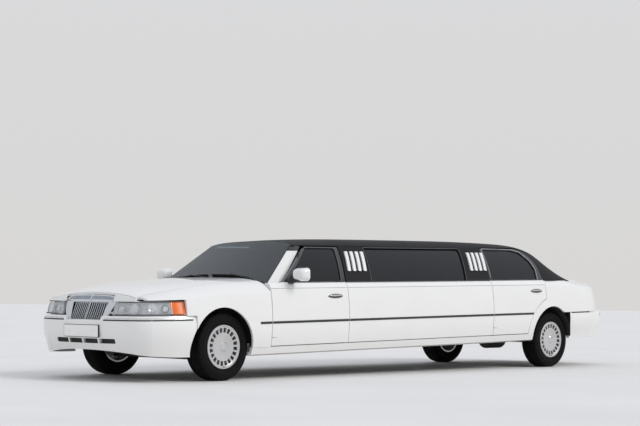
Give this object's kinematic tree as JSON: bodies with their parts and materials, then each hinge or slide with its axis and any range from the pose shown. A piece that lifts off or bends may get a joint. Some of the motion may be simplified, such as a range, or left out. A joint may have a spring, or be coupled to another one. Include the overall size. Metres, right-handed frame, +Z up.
{
  "type": "stretch limousine",
  "caption": "White stretch limousine with a padded black roof, opening doors, hood and trunk, steering front wheels and wheels that roll.",
  "frame": {"origin": "on the ground below the centre of the car's length and width", "axes": "+X towards the front, +Y to the car's left, +Z up"},
  "size_m": [8.0239, 2.305, 1.5119],
  "materials": {
    "white_paint": "gloss clear coat",
    "vinyl": "grained vinyl",
    "tinted_glass": "polished",
    "screen_glass": "polished",
    "chrome": "polished",
    "tyre": "matt",
    "wheel_silver": "silver lacquer",
    "frame_steel": "black chassis paint",
    "bare_steel": "oxidised",
    "cast": "cast",
    "dark_plastic": "grained",
    "trim": "soft trim",
    "lamp_clear": "clear lens",
    "lamp_amber": "amber lens",
    "lamp_red": "red lens"
  },
  "bodies": {
    "root": {"frame_rails": "frame_steel", "frame_crossmembers": "frame_steel", "floor_pan": "frame_steel", "trunk_floor": "frame_steel", "bulkhead": "dark_plastic", "hinge_pillars": "white_paint", "radiator_support": "dark_plastic", "engine": "cast", "driveshaft": "bare_steel", "exhaust": "bare_steel", "fuel_tank": "dark_plastic", "rear_axle": "cast", "front_suspension": "frame_steel", "front_fenders": "white_paint", "front_bumper": "white_paint", "rear_bumper": "white_paint", "grille": "chrome", "headlamps": "lamp_clear", "corner_lamps": "lamp_amber", "tail_lamps": "lamp_red", "windshield": "screen_glass", "windshield_frame": "white_paint", "roof": "vinyl", "rear_window": "tinted_glass", "side_panels": "white_paint", "quarter_panels": "white_paint", "pillar_pads": "vinyl", "pillar_lamps": "white_paint", "mid_windows": "tinted_glass", "dashboard": "dark_plastic", "front_seats": "trim", "lounge_seats": "trim"},
    "hood": {"hood": "white_paint"},
    "trunk_lid": {"trunk_lid": "white_paint"},
    "steering_wheel": {"steering_wheel": "dark_plastic"},
    "front_door_left": {"front_door_left": "white_paint", "front_glass_left": "tinted_glass", "mirror_left": "white_paint"},
    "rear_door_left": {"rear_door_left": "white_paint", "rear_glass_left": "tinted_glass"},
    "knuckle_left": {"knuckle_left": "cast"},
    "front_wheel_left": {"front_tyre_left": "tyre", "front_wheel_left": "wheel_silver"},
    "rear_wheel_left": {"rear_tyre_left": "tyre", "rear_wheel_left": "wheel_silver"},
    "front_door_right": {"front_door_right": "white_paint", "front_glass_right": "tinted_glass", "mirror_right": "white_paint"},
    "rear_door_right": {"rear_door_right": "white_paint", "rear_glass_right": "tinted_glass"},
    "knuckle_right": {"knuckle_right": "cast"},
    "front_wheel_right": {"front_tyre_right": "tyre", "front_wheel_right": "wheel_silver"},
    "rear_wheel_right": {"rear_tyre_right": "tyre", "rear_wheel_right": "wheel_silver"}
  },
  "joints": [
    {"name": "hood_hinge", "type": "hinge", "parent": "root", "child": "hood", "pos_m": [2.4734, 0, 0.99908], "axis": [0, -1, 0], "range_deg": [0, 52]},
    {"name": "trunk_hinge", "type": "hinge", "parent": "root", "child": "trunk_lid", "pos_m": [-3.1766, 0, 1.05161], "axis": [0, 1, 0], "range_deg": [0, 72]},
    {"name": "front_door_left_hinge", "type": "hinge", "parent": "root", "child": "front_door_left", "pos_m": [2.29621, 0.965, 0.61229], "axis": [-0.0185, 0, -0.9998], "range_deg": [0, 68]},
    {"name": "rear_door_left_hinge", "type": "hinge", "parent": "root", "child": "rear_door_left", "pos_m": [-1.38316, 0.965, 0.68037], "axis": [-0.0185, 0, -0.9998], "range_deg": [0, 65]},
    {"name": "front_door_right_hinge", "type": "hinge", "parent": "root", "child": "front_door_right", "pos_m": [2.29621, -0.965, 0.61229], "axis": [0.0185, 0, 0.9998], "range_deg": [0, 68]},
    {"name": "rear_door_right_hinge", "type": "hinge", "parent": "root", "child": "rear_door_right", "pos_m": [-1.38316, -0.965, 0.68037], "axis": [0.0185, 0, 0.9998], "range_deg": [0, 65]},
    {"name": "steer_left", "type": "hinge", "parent": "root", "child": "knuckle_left", "pos_m": [2.955, 0.69, 0.335], "axis": [0, 0, 1], "range_deg": [-33, 33]},
    {"name": "steer_right", "type": "hinge", "parent": "root", "child": "knuckle_right", "pos_m": [2.955, -0.69, 0.335], "axis": [0, 0, 1], "range_deg": [-33, 33]},
    {"name": "steering_wheel_turn", "type": "hinge", "parent": "root", "child": "steering_wheel", "pos_m": [1.68024, 0.38, 0.83573], "axis": [-0.9059, 0, 0.4236], "range_deg": [-495, 495]},
    {"name": "front_wheel_left_spin", "type": "hinge", "parent": "knuckle_left", "child": "front_wheel_left", "pos_m": [2.955, 0.8, 0.335], "axis": [0, 1, 0], "continuous": true},
    {"name": "rear_wheel_left_spin", "type": "hinge", "parent": "root", "child": "rear_wheel_left", "pos_m": [-2.575, 0.8, 0.335], "axis": [0, 1, 0], "continuous": true},
    {"name": "front_wheel_right_spin", "type": "hinge", "parent": "knuckle_right", "child": "front_wheel_right", "pos_m": [2.955, -0.8, 0.335], "axis": [0, 1, 0], "continuous": true},
    {"name": "rear_wheel_right_spin", "type": "hinge", "parent": "root", "child": "rear_wheel_right", "pos_m": [-2.575, -0.8, 0.335], "axis": [0, 1, 0], "continuous": true}
  ],
  "couplings": [
    {"joint": "steer_right", "follows": "steer_left", "ratio": 1},
    {"joint": "steering_wheel_turn", "follows": "steer_left", "ratio": 15}
  ]
}
